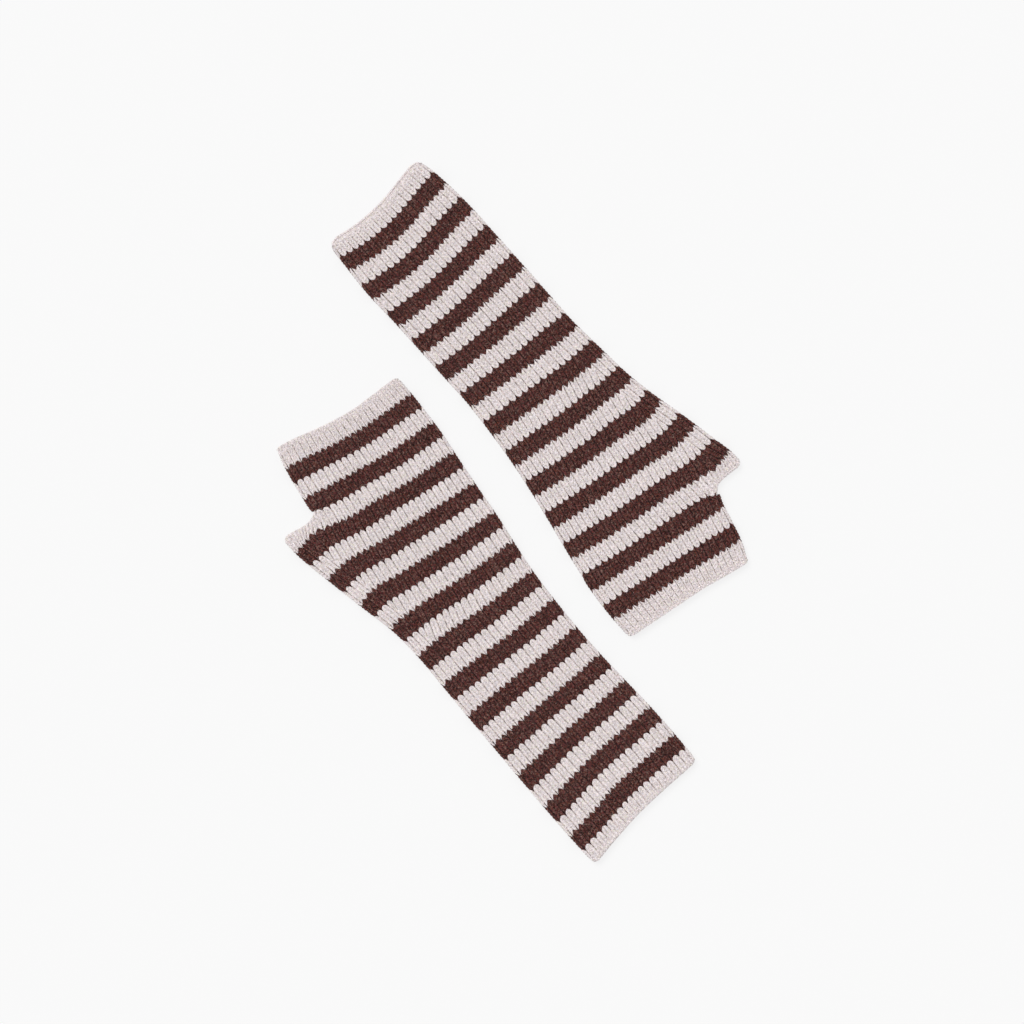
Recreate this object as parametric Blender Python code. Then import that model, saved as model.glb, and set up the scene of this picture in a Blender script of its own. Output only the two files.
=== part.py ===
"""A pair of striped, ribbed wrist warmers knitted in wool, lying flat on a table.

Each warmer is one knitted tube. It has a straight hand part, a short thumb opening at
one side, a gusset that narrows below the thumb, and a long straight forearm. Laid flat,
its front and back lie on each other and turn into each other at rounded folds. The ribs
stand up from the front, the inside is plain, and the back rests flat on the table.

Units are metres with +Z up. The pair's bounding box is centred over the origin.
"""

import math
from bisect import bisect_right

import bmesh
import bpy
from mathutils import Vector

MM = 0.001

# Cloth
WALL = 1.7 * MM
RIB_RISE = 0.9 * MM
LAYER_GAP = 0.6 * MM
MOUTH_GAP = 0.7 * MM
FOLD_REACH = 2.3 * MM
INNER_FOLD_REACH = 0.6 * MM
OUTER_FOLD_POINTS = 3
INNER_FOLD_POINTS = 1
CORNER_RADIUS = 4.5 * MM

# Stations along a warmer count its dark stripes from the wrist, each one's middle a whole number
DARK_STRIPES = 13
DARK_HALF = 0.25
WRIST_STATION = -0.775
FINGER_STATION = 12.88
THUMB_STATION = 11 - DARK_HALF

# Ribs, counted across the front from the thumb side
RIBS = 26
EDGE_RIBS = 2
THUMB_RIBS = 5
CREST_PLACES = (0.28, 0.72)
GUSSET_STEP = 0.5
LAST_GUSSET_START = 10 - DARK_HALF
PLAIN_RIBS = (5, 12, 16, 21, 26)

# Thumb opening
THUMB_EDGE_DIP = 1.3 * MM
CROTCH_LIFT = 1.8 * MM
CROTCH_SPREAD = 10.0 * MM
CROTCH_ROUND = 1.0 * MM

# Distances across from the centre line, in mm, at which the tables below give a course's height
COURSE_PLACES = (-60, -40, -20, 0, 20, 42)

# Courses of each warmer in mm: station, left edge, right edge, then the heights at COURSE_PLACES
LOWER_LEFT_COURSES = (
    (WRIST_STATION, -40.8, 47.6, -167.0, -163.2, -159.1, -156.1, -154.6, -153.8),
    (0, -41.9, 47.5, -147.0, -144.6, -141.9, -138.4, -137.3, -136.6),
    (1, -42.7, 46.8, -123.5, -121.2, -118.2, -115.6, -115.1, -114.5),
    (2, -43.2, 45.2, -96.5, -96.1, -95.0, -93.3, -93.1, -92.2),
    (3, -43.5, 43.8, -73.0, -72.3, -71.8, -71.4, -71.4, -70.4),
    (4, -43.8, 42.8, -49.6, -49.2, -49.0, -49.1, -49.3, -48.4),
    (5, -44.2, 42.6, -25.0, -25.2, -25.9, -26.6, -27.1, -26.7),
    (6, -44.6, 43.2, -2.0, -1.9, -2.3, -4.1, -4.9, -5.3),
    (7, -46.6, 45.4, 19.5, 21.6, 20.8, 18.6, 17.0, 16.0),
    (8, -51.7, 48.3, 40.5, 46.0, 43.5, 41.0, 38.6, 37.3),
    (9, -57.0, 50.5, 67.6, 69.5, 66.3, 63.8, 61.0, 58.7),
    (10, -61.6, 52.5, 93.2, 93.2, 88.8, 86.3, 83.2, 81.0),
    (THUMB_STATION, -62.6, 54.0, 109.6, 110.2, 105.9, 102.9, 99.5, 97.7),
    (11, -39.0, 54.2, 114.6, 116.0, 111.7, 108.3, 104.9, 103.0),
    (12, -36.2, 54.6, 139.0, 137.5, 134.0, 129.4, 126.2, 124.6),
    (FINGER_STATION, -32.2, 54.4, 158.0, 156.0, 152.5, 147.6, 143.8, 142.8),
)
UPPER_RIGHT_COURSES = (
    (WRIST_STATION, -36.0, 42.6, -169.0, -166.2, -162.6, -158.9, -158.1, -160.9),
    (0, -38.4, 43.2, -150.5, -148.3, -145.6, -142.1, -141.8, -145.2),
    (1, -39.4, 43.6, -127.0, -125.7, -123.7, -120.8, -120.5, -122.9),
    (2, -40.2, 42.8, -103.5, -102.5, -101.1, -99.4, -99.1, -100.5),
    (3, -40.8, 41.9, -79.5, -79.1, -78.7, -77.6, -77.2, -78.5),
    (4, -41.4, 40.8, -55.0, -55.2, -55.3, -54.9, -55.5, -57.0),
    (5, -42.4, 40.4, -30.0, -30.9, -31.6, -32.2, -33.4, -34.9),
    (6, -44.2, 41.4, -8.5, -7.9, -8.1, -9.6, -11.2, -12.6),
    (7, -46.9, 43.1, 13.0, 14.8, 14.3, 13.7, 11.6, 9.7),
    (8, -51.9, 45.8, 32.5, 38.8, 37.4, 36.2, 34.5, 31.5),
    (9, -58.2, 49.3, 60.0, 62.5, 60.5, 58.9, 56.9, 54.1),
    (10, -63.4, 53.0, 86.0, 86.5, 83.3, 81.4, 79.2, 76.1),
    (THUMB_STATION, -66.2, 55.2, 102.4, 103.9, 100.6, 98.4, 96.0, 92.8),
    (11, -41.4, 56.0, 107.1, 109.4, 106.6, 104.2, 101.4, 98.5),
    (12, -36.8, 57.0, 133.0, 132.0, 129.4, 126.4, 123.6, 120.7),
    (FINGER_STATION, -31.4, 56.8, 154.0, 152.6, 149.6, 145.8, 143.4, 141.0),
)

# Each warmer: name, courses, gusset ribs, a thumb rib's extra width, how far the back shows
# past the front at the wrist, place on the table, and turn
WARMERS = (
    ("warmer_lower_left", LOWER_LEFT_COURSES, 8, 0.12, 0.4 * MM,
     (-21.4 * MM, -61.9 * MM), math.radians(39.24)),
    ("warmer_upper_right", UPPER_RIGHT_COURSES, 9, 0.04, 1.4 * MM,
     (24.3 * MM, 66.1 * MM), math.radians(-139.88)),
)

LIGHT_SLOT, DARK_SLOT = 0, 1
LIGHT_WOOL = (0.69, 0.63, 0.62, 1.0)
DARK_WOOL = (0.083, 0.036, 0.031, 1.0)
WOOL_ROUGHNESS = 0.9

# A ring round the tube has keys from -1 - RIBS at the back's far side to this much more
RING_KEYS = 2 * RIBS + 2
SAME_KEY = 1e-3


def clear_scene():
    for old in list(bpy.data.objects):
        bpy.data.objects.remove(old, do_unlink=True)


def wool(name, colour):
    material = bpy.data.materials.new(name)
    material.use_nodes = True
    shader = material.node_tree.nodes["Principled BSDF"]
    shader.inputs["Base Color"].default_value = colour
    shader.inputs["Roughness"].default_value = WOOL_ROUGHNESS
    shader.inputs["Metallic"].default_value = 0.0
    return material


def smooth_curve(places, values, at):
    """The smooth curve through the values at the rising places, read at one place."""
    last = len(places) - 1
    i = min(max(bisect_right(places, at) - 1, 0), last - 1)

    def slope(j):
        before, after = max(j - 1, 0), min(j + 1, last)
        return (values[after] - values[before]) / (places[after] - places[before])

    span = places[i + 1] - places[i]
    t = (at - places[i]) / span
    if not 0 <= t <= 1:
        end = i if t < 0 else i + 1
        return values[end] + slope(end) * (at - places[end])
    rise = values[i + 1] - values[i]
    bend_in = slope(i) * span - rise
    bend_out = rise - slope(i + 1) * span
    return values[i] + rise * t + t * (1 - t) * (bend_in * (1 - t) + bend_out * t)


def ease(t):
    t = min(max(t, 0.0), 1.0)
    return t * t * (3 - 2 * t)


class Warmer:
    """The knitted cloth of one warmer, in its own flat frame: x across, y towards the fingers."""

    def __init__(self, courses, gusset_ribs, thumb_extra, back_shows):
        self.gusset = range(EDGE_RIBS, EDGE_RIBS + gusset_ribs)
        self.thumb_extra = thumb_extra
        self.back_shows = back_shows
        self.stations = [course[0] for course in courses]
        self.left = [course[1] * MM for course in courses]
        self.right = [course[2] * MM for course in courses]
        self.heights = [[height * MM for height in course[3:]] for course in courses]
        self.thumb_row = self.stations.index(THUMB_STATION)
        self.crotch = self.rib_edges(THUMB_STATION)[THUMB_RIBS]

    def gusset_start(self, rib):
        """The station where a gusset rib begins: the nearer the thumb side, the later."""
        return LAST_GUSSET_START - GUSSET_STEP * (rib - EDGE_RIBS)

    def rib_share(self, rib, station):
        """A rib's width against a full rib's, widening from nothing where a gusset rib begins."""
        share = 1.0
        if rib in self.gusset:
            share = ease((station - self.gusset_start(rib)) / GUSSET_STEP)
        if rib < THUMB_RIBS:
            share *= 1 + self.thumb_extra * ease(station - THUMB_STATION + 1)
        return share

    def edges(self, station, hand):
        """The left and right edges of the flat tube, at the outside of its folds."""
        right = smooth_curve(self.stations, self.right, station)
        if hand:
            left = smooth_curve(self.stations[self.thumb_row:],
                                [self.crotch - FOLD_REACH] + self.left[self.thumb_row + 1:], station)
        else:
            left = smooth_curve(self.stations[:self.thumb_row + 1],
                                self.left[:self.thumb_row + 1], station)
        return left, right

    def rib_edges(self, station, hand=False):
        """How far across each rib begins, and last where the far rib ends."""
        left, right = self.edges(station, hand)
        left += FOLD_REACH
        right -= FOLD_REACH
        first = THUMB_RIBS if hand else 0
        shares = [0.0] * first + [self.rib_share(rib, station) for rib in range(first, RIBS)]
        edges = [left]
        for share in shares:
            edges.append(edges[-1] + share * (right - left) / sum(shares))
        return edges

    def course_height(self, across, station):
        """How far up the warmer a course lies at a distance across from the centre line."""
        along = [smooth_curve(self.stations, [row[i] for row in self.heights], station)
                 for i in range(len(COURSE_PLACES))]
        return smooth_curve([place * MM for place in COURSE_PLACES], along, across)

    def corner_drop(self, across, station, hand):
        """How far an end of the tube draws back at its rounded corners."""
        left, right = self.edges(station, hand)
        to_side = min(across - left, right - across)
        if station == THUMB_STATION and not hand:
            to_side = across - left
        elif station not in (WRIST_STATION, FINGER_STATION):
            to_side = CORNER_RADIUS
        inset = min(max(CORNER_RADIUS - to_side, 0.0), CORNER_RADIUS)
        return CORNER_RADIUS - math.sqrt(CORNER_RADIUS ** 2 - inset ** 2)

    def thumb_lift(self, across, hand):
        """How the course at the thumb rises to the crotch, and dips along the thumb's own edge."""
        away = across - self.crotch
        if away >= 0:
            return CROTCH_LIFT * ease(1 - away / CROTCH_SPREAD)
        if hand:
            return CROTCH_LIFT - CROTCH_ROUND * away / FOLD_REACH
        left = self.edges(THUMB_STATION, False)[0]
        t = away / (left - self.crotch)
        return CROTCH_LIFT * ease(1 - 3 * t) - THUMB_EDGE_DIP * math.sin(math.pi * t)

    def along(self, across, station, hand, back):
        """How far up the warmer a point of the cloth lies, with the shape of the tube's ends."""
        height = self.course_height(across, station)
        drop = self.corner_drop(across, station, hand)
        height += drop if station == WRIST_STATION else -drop
        if station == THUMB_STATION:
            height += self.thumb_lift(across, hand)
        if back and station == WRIST_STATION:
            left, right = self.edges(station, hand)
            t = (across - left) / (right - left)
            height -= self.back_shows * 4 * t * (1 - t)
        return height

    def layer_heights(self, station, inner):
        """The heights of the back and the front, on the tube's inner face or its outer one."""
        to_mouth = min(station - WRIST_STATION, FINGER_STATION - station)
        gap = LAYER_GAP + MOUTH_GAP * ease(1 - to_mouth)
        return (WALL, WALL + gap) if inner else (0.0, 2 * WALL + gap)

    def newest_rib(self, station):
        """The gusset rib that began last at this station, or the first rib past the gusset."""
        begun = [rib for rib in self.gusset if self.gusset_start(rib) <= station]
        return min(begun, default=self.gusset.stop)

    def ribbed_points(self, station, hand, base):
        """Key, distance across and height of each point of the front's outer face."""
        edges = self.rib_edges(station, hand)
        first = THUMB_RIBS if hand else 0
        ribs = [rib for rib in range(first, RIBS) if self.rib_share(rib, station) > 0]
        points = []
        for rib in ribs:
            beside_gusset = not hand and rib == ribs[EDGE_RIBS]
            key = self.newest_rib(station) if beside_gusset else rib
            points.append((key, edges[rib], base))
            rise = RIB_RISE * min(self.rib_share(rib, station), 1.0)
            for place in CREST_PLACES:
                across = edges[rib] + place * (edges[rib + 1] - edges[rib])
                points.append((rib + place, across, base + rise))
        points.append((RIBS, edges[RIBS], base))
        return points

    def plain_points(self, station, hand, height):
        """Key, distance across and height of each point of a plain face."""
        edges = self.rib_edges(station, hand)
        points = [(rib, edges[rib], height) for rib in PLAIN_RIBS]
        if not hand:
            middle = (edges[0] + edges[THUMB_RIBS]) / 2
            points = [(0, edges[0], height), (THUMB_RIBS / 2, middle, height)] + points
        return points

    def ring(self, station, hand, inner):
        """Key, distance across, height and side of each point of a ring round the tube.

        It runs along the back from the far side, over the near fold, and along the front.
        """
        low, high = self.layer_heights(station, inner)
        back = [(-1 - key, across, height) for key, across, height
                in reversed(self.plain_points(station, hand, low))]
        points_of = self.plain_points if inner else self.ribbed_points
        front = points_of(station, hand, high)
        closing = (back[0][0] + RING_KEYS, back[0][1], back[0][2])
        near = fold_points(back[-1], front[0], -1, inner)
        far = fold_points(front[-1], closing, 1, inner)
        return ([(*point, True) for point in back]
                + [(*point, False) for point in near + front + far])


def fold_points(start, end, side, inner):
    """The points of a fold between two layers, bulging to one side."""
    count = INNER_FOLD_POINTS if inner else OUTER_FOLD_POINTS
    reach = INNER_FOLD_REACH if inner else FOLD_REACH
    points = []
    for i in range(1, count + 1):
        t = i / (count + 1)
        key = start[0] + t * (end[0] - start[0])
        across = start[1] + side * reach * math.sin(math.pi * t)
        height = start[2] + (end[2] - start[2]) * (1 - math.cos(math.pi * t)) / 2
        points.append((key, across, height))
    return points


def outside_thumb(key):
    return key <= -1 - THUMB_RIBS or key >= THUMB_RIBS


def add_ring(mesh, warmer, station, hand, inner, shared=()):
    """A ring's points as keyed vertices, taking those that another ring already has."""
    known = {round(key, 3): vertex for key, vertex in shared if outside_thumb(key)}
    ring = []
    for key, across, height, back in warmer.ring(station, hand, inner):
        vertex = known.get(round(key, 3))
        if vertex is None:
            vertex = mesh.verts.new((across, warmer.along(across, station, hand, back), height))
        ring.append((key, vertex))
    return ring


def closed(ring):
    return ring + [(ring[0][0] + RING_KEYS, ring[0][1])]


def join(mesh, first, second, slot):
    """Triangles between two keyed paths, which step on together wherever their keys agree."""
    i, j = 0, 0
    while i + 1 < len(first) or j + 1 < len(second):
        next_first = first[i + 1][0] if i + 1 < len(first) else math.inf
        next_second = second[j + 1][0] if j + 1 < len(second) else math.inf
        if next_first <= next_second + SAME_KEY:
            mesh.faces.new((second[j][1], first[i][1], first[i + 1][1])).material_index = slot
            i += 1
        if next_second <= next_first + SAME_KEY:
            mesh.faces.new((second[j][1], first[i][1], second[j + 1][1])).material_index = slot
            j += 1


def thumb_path(ring):
    """The stretch of a ring round the thumb, from the crotch's back to its front."""
    return [(key, vertex) for key, vertex in ring if -1 - THUMB_RIBS <= key <= THUMB_RIBS]


def knit_tube(mesh, warmer, inner, stations):
    """One face of the whole tube. Returns its wrist, finger, thumb and crotch edges."""
    thumb_at = stations.index(THUMB_STATION)
    lower = [add_ring(mesh, warmer, station, False, inner) for station in stations[:thumb_at + 1]]
    crotch = add_ring(mesh, warmer, THUMB_STATION, True, inner, lower[-1])
    hand = [crotch] + [add_ring(mesh, warmer, station, True, inner)
                       for station in stations[thumb_at + 1:]]
    for i in range(thumb_at):
        join(mesh, closed(lower[i]), closed(lower[i + 1]), stripe_slot(i))
    for i in range(len(hand) - 1):
        join(mesh, closed(hand[i]), closed(hand[i + 1]), stripe_slot(thumb_at + i))
    return lower[0], hand[-1], thumb_path(lower[-1]), thumb_path(crotch)


def stripe_slot(stripe):
    """Stripes alternate from the wrist, starting and ending with a light one."""
    return DARK_SLOT if stripe % 2 else LIGHT_SLOT


def knit_warmer(name, courses, gusset_ribs, thumb_extra, back_shows, place, turn, materials):
    warmer = Warmer(courses, gusset_ribs, thumb_extra, back_shows)
    stations = [WRIST_STATION]
    for stripe in range(DARK_STRIPES):
        stations += [stripe - DARK_HALF, stripe + DARK_HALF]
    stations.append(FINGER_STATION)

    mesh = bmesh.new()
    outer = knit_tube(mesh, warmer, False, stations)
    inner = knit_tube(mesh, warmer, True, stations)
    for outer_end, inner_end in zip(outer[:2], inner[:2]):
        join(mesh, closed(outer_end), closed(inner_end), LIGHT_SLOT)
    for outer_edge, inner_edge in zip(outer[2:], inner[2:]):
        join(mesh, outer_edge, inner_edge, LIGHT_SLOT)
    bmesh.ops.recalc_face_normals(mesh, faces=mesh.faces)

    data = bpy.data.meshes.new(name)
    mesh.to_mesh(data)
    mesh.free()
    for material in materials:
        data.materials.append(material)
    data.shade_smooth()
    data.set_sharp_from_angle(angle=math.radians(50))
    obj = bpy.data.objects.new(name, data)
    obj.location = (*place, 0)
    obj.rotation_euler = (0, 0, turn)
    bpy.context.collection.objects.link(obj)
    return obj


def centre_over_origin(objects):
    """Shift the pieces together so that their bounding box is centred over the origin."""
    bpy.context.view_layer.update()
    points = [obj.matrix_world @ vertex.co for obj in objects for vertex in obj.data.vertices]
    low = Vector((min(point.x for point in points), min(point.y for point in points), 0))
    high = Vector((max(point.x for point in points), max(point.y for point in points), 0))
    for obj in objects:
        obj.location -= (low + high) / 2


def main():
    clear_scene()
    materials = (wool("oatmeal wool", LIGHT_WOOL), wool("brown wool", DARK_WOOL))
    centre_over_origin([knit_warmer(*warmer, materials) for warmer in WARMERS])


main()
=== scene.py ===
"""A pair of striped, ribbed wrist warmers knitted in wool, laid flat on a pale table.

Each warmer is a tube of cloth with its stitches on it, one column of them to a rib. A stitch
shows as two legs of yarn that meet towards the fingers, as the knitting runs from the fingers
to the wrist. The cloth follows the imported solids' courses, ribs, gusset and folds, to about 2 mm.

The cloth is worked out in mm, in each warmer's own flat frame: x across, y to the fingers, z up.
A station counts the dark stripes from the wrist, and a row of stitches is a tenth of one.
"""
import math
from typing import NamedTuple

import bmesh
import bpy
import numpy as np
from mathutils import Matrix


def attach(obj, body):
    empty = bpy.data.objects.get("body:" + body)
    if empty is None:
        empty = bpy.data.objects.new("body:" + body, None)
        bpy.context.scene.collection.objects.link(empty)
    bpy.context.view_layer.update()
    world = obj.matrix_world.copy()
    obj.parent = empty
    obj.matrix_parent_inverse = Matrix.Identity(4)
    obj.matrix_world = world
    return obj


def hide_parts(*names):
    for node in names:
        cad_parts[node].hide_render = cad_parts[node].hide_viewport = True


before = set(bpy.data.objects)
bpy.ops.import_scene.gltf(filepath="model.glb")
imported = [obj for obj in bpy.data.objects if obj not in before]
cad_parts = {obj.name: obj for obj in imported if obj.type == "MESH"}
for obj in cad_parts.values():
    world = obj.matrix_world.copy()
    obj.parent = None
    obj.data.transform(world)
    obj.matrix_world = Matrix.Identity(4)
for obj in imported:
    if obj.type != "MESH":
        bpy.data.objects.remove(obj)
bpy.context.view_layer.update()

MM = 0.001

# The cloth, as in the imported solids: its wall, the gap between its layers and what a mouth adds to
# it, how far the folds reach past the ribs outside and inside, and the rounding of its corners
WALL = 1.7
LAYER_GAP = 0.6
MOUTH_GAP = 0.4
FOLD_REACH = 2.3
INNER_FOLD_REACH = 0.6
CORNER_RADIUS = 4.5

# Stripes and mouths, in stations, and how far from a mouth its own shape has faded out
DARK_HALF = 0.25
DARK_STRIPES = 13
WRIST = -0.775
FINGERS = 12.88
THUMB = 11 - DARK_HALF
MOUTH_REACH = 0.5
# Stations nearer to each other than this are the same
SAME_STATION = 0.01

# Ribs are counted across from the thumb's fold: those at the fold, then the gusset's, then the
# rest. A gusset rib widens from nothing in one step, and starts a step after the next one.
# The thumb's ribs end at its mouth.
RIBS = 26
EDGE_RIBS = 2
THUMB_RIBS = 5
GUSSET_STEP = 0.5
LAST_GUSSET_START = 10 - DARK_HALF
# A rib with less than this share of a full rib's width isn't knitted yet
SMALLEST_RIB = 0.4
# Each rib's width sways by this share, in waves of this many radians to a station
UNEVEN_RIBS = 0.08
UNEVEN_BEND = 0.6

# At the thumb's mouth: how far across the crotch's rise spreads over the hand, how far its fold
# rounds off, how fast its rise fades along the thumb's edge, and how the edge's dip leans to it
CROTCH_SPREAD = 5.5
CROTCH_ROUND = 1.0
CROTCH_FADE = 12
DIP_LEAN = 0.6
# Below the crotch the courses pucker upwards and the ribs lean from the fold towards the hand
PUCKER_STATION = 10.25
PUCKER_HALF = 0.5
PUCKER_WIDTH = 8.0
PUCKER_LIFT = 2.0
PUCKER_LEAN = 4.0
# How fast, from either fold, the back comes out past the front at the wrist
BACK_FULLNESS = 12

# Distances across from the centre line at which the tables below give a course's height
COURSE_PLACES = np.array((-60.0, -40.0, -20.0, 0.0, 20.0, 42.0))

# Courses of each warmer: station, left edge, right edge, then the heights at COURSE_PLACES
LOWER_LEFT_COURSES = (
    (WRIST, -40.8, 47.6, -166.3, -162.5, -158.4, -155.4, -153.9, -153.1),
    (0, -41.9, 47.5, -147.0, -144.6, -141.9, -138.4, -137.3, -136.6),
    (1, -42.7, 46.8, -123.5, -121.2, -118.2, -115.6, -115.1, -114.5),
    (2, -43.2, 45.2, -96.5, -96.1, -95.0, -93.3, -93.1, -92.2),
    (3, -43.5, 43.5, -73.0, -72.3, -71.8, -71.4, -71.4, -70.4),
    (4, -43.8, 42.5, -49.6, -49.2, -49.0, -49.1, -49.3, -48.4),
    (5, -44.0, 42.5, -25.0, -25.2, -25.9, -26.6, -27.1, -26.7),
    (6, -44.1, 43.1, -2.0, -1.9, -2.3, -4.1, -4.9, -5.3),
    (7, -45.9, 45.1, 19.5, 21.6, 20.8, 18.6, 17.0, 16.0),
    (8, -50.8, 47.7, 40.5, 46.0, 43.5, 41.0, 38.6, 37.3),
    (9, -56.3, 49.5, 67.6, 69.5, 66.3, 63.8, 61.0, 58.7),
    (10, -61.4, 51.6, 93.2, 93.2, 88.8, 86.3, 83.2, 81.0),
    (THUMB, -62.6, 53.4, 109.6, 110.2, 105.9, 102.9, 99.5, 97.7),
    (11, -38.3, 53.7, 114.6, 116.0, 111.7, 108.3, 104.9, 103.0),
    (12, -35.3, 54.4, 139.0, 137.5, 134.0, 129.4, 126.2, 124.6),
    (FINGERS, -31.6, 54.1, 158.2, 156.3, 152.6, 147.2, 143.4, 142.5),
)
UPPER_RIGHT_COURSES = (
    (WRIST, -33.8, 42.3, -167.9, -165.1, -161.4, -157.6, -156.8, -159.6),
    (0, -36.8, 42.8, -149.8, -147.6, -144.9, -141.4, -141.1, -144.5),
    (1, -39.2, 43.4, -126.2, -124.9, -122.9, -120.0, -119.7, -122.1),
    (2, -40.0, 42.1, -102.7, -101.7, -100.3, -98.6, -98.3, -99.7),
    (3, -40.7, 41.3, -78.7, -78.3, -77.9, -76.8, -76.4, -77.7),
    (4, -41.3, 40.6, -54.2, -54.4, -54.5, -54.1, -54.7, -56.2),
    (5, -41.9, 39.8, -29.2, -30.1, -30.8, -31.4, -32.6, -34.1),
    (6, -44.2, 40.6, -7.7, -7.1, -7.3, -8.8, -10.4, -11.8),
    (7, -46.7, 42.2, 13.8, 15.6, 15.1, 14.5, 12.4, 10.5),
    (8, -51.0, 44.8, 33.3, 39.6, 38.2, 37.0, 35.3, 32.3),
    (9, -57.3, 48.2, 60.8, 63.3, 61.3, 59.7, 57.7, 54.9),
    (10, -62.8, 51.8, 86.8, 87.3, 84.1, 82.2, 80.0, 76.9),
    (THUMB, -64.9, 54.2, 102.4, 104.1, 101.4, 99.2, 96.9, 93.7),
    (11, -40.8, 55.4, 107.8, 110.3, 108.1, 105.4, 102.6, 99.9),
    (12, -35.8, 56.6, 134.0, 133.0, 130.2, 127.2, 124.5, 121.4),
    (FINGERS, -30.2, 56.3, 152.8, 151.5, 149.0, 145.4, 143.0, 140.6),
)


class Warmer(NamedTuple):
    """What sets one warmer apart. Lengths are in mm, and the turn is in degrees."""

    name: str
    courses: tuple
    gusset_ribs: int
    # By what share a thumb rib is wider than the others
    thumb_extra: float
    # How far the thumb's edge dips, how far the crotch rises, and where across the cloth puckers
    thumb_dip: float
    crotch_lift: float
    pucker_at: float
    # How far the back shows past the front at the wrist
    back_shows: float
    # Where it lies on the table
    place: tuple
    turn: float
    seed: int


WARMERS = (
    Warmer("lower_left", LOWER_LEFT_COURSES, gusset_ribs=8, thumb_extra=0.12, thumb_dip=3.2,
           crotch_lift=0.9, pucker_at=-46.0, back_shows=0.4, place=(-22.217, -62.737), turn=39.24,
           seed=11),
    Warmer("upper_right", UPPER_RIGHT_COURSES, gusset_ribs=9, thumb_extra=-0.03, thumb_dip=2.0,
           crotch_lift=3.2, pucker_at=-51.0, back_shows=2.7, place=(23.483, 65.263), turn=-139.88,
           seed=12),
)

# Sides of the tube, and colours of wool. A furrow's material, a darker copy of its wool that paints
# the shade in the furrow, comes two after its wool's own.
FRONT, NEAR_FOLD, FAR_FOLD, BACK = range(4)
LIGHT, DARK = 0, 1
PAINTED_SHADE_COPY = 2

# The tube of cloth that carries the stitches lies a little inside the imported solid's outer face
FRONT_SINK = 0.25
FOLD_SINK = 1.2
BACK_SINK = 0.6
# Nothing lies lower over the table than this
LOWEST = 0.02
# What lies on a fold may run past its ends by this share of its turn
FOLD_SPILL = 0.1
# Points nearer to each other than this are joined
JOIN_WITHIN = 0.001

# A row of stitches, in stations and in mm, and where the first and the last one begin, in rows
# from station 0
ROW = 0.1
ROW_MM = 2.26
FIRST_ROW = -7.5
LAST_ROW = 127.5

# A leg of yarn, from the end that meets its twin, towards the fingers, to the spread end:
# rows up, how far its two sides lie from the rib's middle as shares of the rib's width, and its
# height as a share of a stitch's. The brown legs reach further up over the row above.
OATMEAL_LEG = (
    (1.06, 0.000, 0.060, 0.92),
    (0.92, 0.000, 0.220, 0.98),
    (0.68, 0.006, 0.365, 1.00),
    (0.32, 0.020, 0.450, 0.98),
    (-0.28, 0.125, 0.462, 0.84),
    (-0.80, 0.350, 0.452, 0.45),
)
BROWN_LEG = (
    (1.20, 0.000, 0.030, 0.92),
    (1.02, 0.000, 0.150, 0.97),
    (0.78, 0.000, 0.290, 1.00),
    (0.46, 0.010, 0.425, 0.98),
    (-0.26, 0.110, 0.462, 0.84),
    (-0.86, 0.340, 0.455, 0.45),
)
# Angles round a leg of yarn on the front and the folds, coarser ones for the hidden back, and how
# plump its rounding is
ROUND_ANGLES = np.radians((-12.0, 36.0, 90.0, 144.0, 192.0))
FLAT_ANGLES = np.radians((0.0, 90.0, 180.0))
PLUMPNESS = 0.6
# How high a stitch stands on the front and on the back, and shares of that: the brown ones', the
# least along a leg on a fold, and what a stitch on a rib of no width would have
STITCH_HEIGHT = 1.15
BACK_STITCH_HEIGHT = 0.55
BROWN_FLATTER = 0.9
FOLD_SMOOTH = 0.86
NARROW_HEIGHT = 0.3
# How much stitches differ: in length, in place along and across the rib, and in thickness
UNEVEN_LENGTH = 0.05
UNEVEN_ALONG = 0.06
UNEVEN_ACROSS = 0.012
UNEVEN_YARN = 0.05
# The lowest that stitches reach, in stations: this far above the wrist's edge, and on the hand's
# fold over the thumb this far below the thumb's edge
WRIST_ROOM = 0.01
THUMB_ROOM = 0.02
# From this station to the fingers a groove shows between the two legs of a stitch, as far up as
# LEG_TIP of its row, where they meet
FINGER_BAND = DARK_STRIPES - 0.8
FINGER_GROOVE = 0.04
LEG_TIP = 0.9

# A rib of the tube begins in a furrow, and its ridge lies between the last two of these shares.
# Its points within RIDGE_HALF of the rib's middle are raised.
RIDGE_SHARES = (-0.5, -0.36, 0.36)
RIDGE_HALF = 0.45
RIDGE_HEIGHT = 0.5
# Points round a fold of the tube
FOLD_SHARES = (-0.25, 0.0, 0.25)

# At a dark stripe's upper edge, in rows: how far below it the furrows are pale already, how far
# above it a hole to the dark wool reaches, and the share of furrows that have one
FURROW_DIP = 0.5
HOLE_RISE = 0.4
DARK_HOLES = 0.3
# Pale furrows that go without their painted shade, as pale as the wool's ridges. In order below:
# within how many rows of the wrist and the fingers and how many stations of the thumb's edge all of
# them do;
# within how many stations of the wrist and the fingers a greater share by chance does, that share, and
# the share elsewhere
SHADE_OFF_ROWS = 1.3
SHADE_OFF_THUMB = 0.3
SHADE_OFF_END = 0.22
SHADE_OFF_END_SHARE = 0.6
SHADE_OFF_SHARE = 0.15

# A stitch of the knitted edges: its places along, and the yarn's radius there as a share
EDGE_STITCH = ((-1.0, 0.5), (-0.75, 0.84), (-0.25, 1.0), (0.25, 1.0), (0.75, 0.84), (1.0, 0.5))
# Its half length as a share of the spacing, its half height and half width, how far its middle
# lies under the tube's face, how far its ends lean out, and how much size and lean differ
EDGE_STITCH_REACH = 0.72
EDGE_HEIGHT = 1.15
EDGE_WIDTH = 0.75
EDGE_SINK = 0.45
EDGE_LEAN = 0.25
UNEVEN_EDGE = 0.06
UNEVEN_LEAN = 0.3
# There are two of these stitches to a rib, and two round a fold
EDGE_SHARES = (-0.25, 0.25)
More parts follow.
